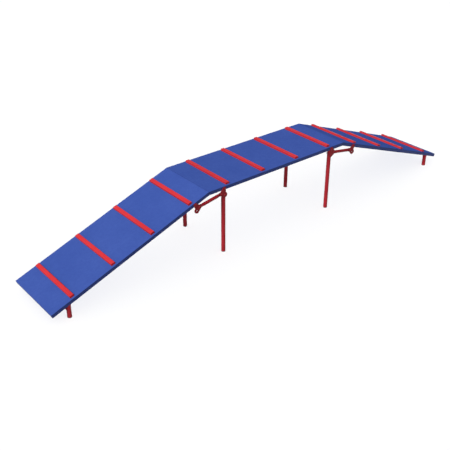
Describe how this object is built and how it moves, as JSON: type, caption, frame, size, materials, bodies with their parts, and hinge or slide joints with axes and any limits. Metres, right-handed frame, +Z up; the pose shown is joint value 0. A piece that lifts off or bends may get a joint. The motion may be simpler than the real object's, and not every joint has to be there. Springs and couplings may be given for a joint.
{
  "type": "dog agility walk ramp bridge",
  "caption": "Raised agility walk for dogs: a level centre deck between two sloping ramps, with cross cleats, tube legs and braced bends.",
  "frame": {"origin": "on the floor, under the middle of the centre deck", "axes": "+X along the walk towards the right ramp, +Y across it to the back, +Z up"},
  "size_m": [4.6808, 0.6332, 0.669],
  "materials": {
    "deck_coating": "textured anti-slip powder coat, blue",
    "frame_coating": "satin powder coat, blue",
    "cleat_plastic": "solid-coloured board plastic, fine grain, red",
    "leg_coating": "semi-gloss powder coat, red",
    "bolt_coating": "colour-matched coated bolt heads, dark red",
    "zinc_fasteners": "zinc plated",
    "plug_plastic": "moulded, black"
  },
  "bodies": {
    "root": {"bend_plate_bolts": "zinc_fasteners", "bend_plate_left": "frame_coating", "bend_plate_right": "frame_coating", "cleat_centre_1": "cleat_plastic", "cleat_centre_2": "cleat_plastic", "cleat_centre_3": "cleat_plastic", "cleat_centre_4": "cleat_plastic", "cleat_left_1": "cleat_plastic", "cleat_left_2": "cleat_plastic", "cleat_left_3": "cleat_plastic", "cleat_left_4": "cleat_plastic", "cleat_right_1": "cleat_plastic", "cleat_right_2": "cleat_plastic", "cleat_right_3": "cleat_plastic", "cleat_right_4": "cleat_plastic", "cleat_screws": "zinc_fasteners", "deck_sheet_centre": "deck_coating", "deck_sheet_left": "deck_coating", "deck_sheet_right": "deck_coating", "leg_bolts": "bolt_coating", "leg_bracket_left_back": "leg_coating", "leg_bracket_left_front": "leg_coating", "leg_bracket_right_back": "leg_coating", "leg_bracket_right_front": "leg_coating", "rail_bolts": "bolt_coating", "rail_centre_back": "frame_coating", "rail_centre_front": "frame_coating", "rail_left_back": "frame_coating", "rail_left_front": "frame_coating", "rail_nuts": "zinc_fasteners", "rail_right_back": "frame_coating", "rail_right_front": "frame_coating", "ramp_bracket_left_back": "leg_coating", "ramp_bracket_left_front": "leg_coating", "ramp_bracket_right_back": "leg_coating", "ramp_bracket_right_front": "leg_coating", "ribs_centre": "frame_coating", "ribs_left": "frame_coating", "ribs_right": "frame_coating", "short_leg_gusset_left_back": "leg_coating", "short_leg_gusset_left_front": "leg_coating", "short_leg_gusset_right_back": "leg_coating", "short_leg_gusset_right_front": "leg_coating", "short_leg_left_back": "leg_coating", "short_leg_left_front": "leg_coating", "short_leg_plugs": "plug_plastic", "short_leg_right_back": "leg_coating", "short_leg_right_front": "leg_coating", "strut_and_leg_nuts": "zinc_fasteners", "strut_bolts": "bolt_coating", "strut_left_back": "leg_coating", "strut_left_front": "leg_coating", "strut_right_back": "leg_coating", "strut_right_front": "leg_coating", "tall_leg_left_back": "leg_coating", "tall_leg_left_front": "leg_coating", "tall_leg_plugs": "plug_plastic", "tall_leg_right_back": "leg_coating", "tall_leg_right_front": "leg_coating"}
  },
  "joints": []
}
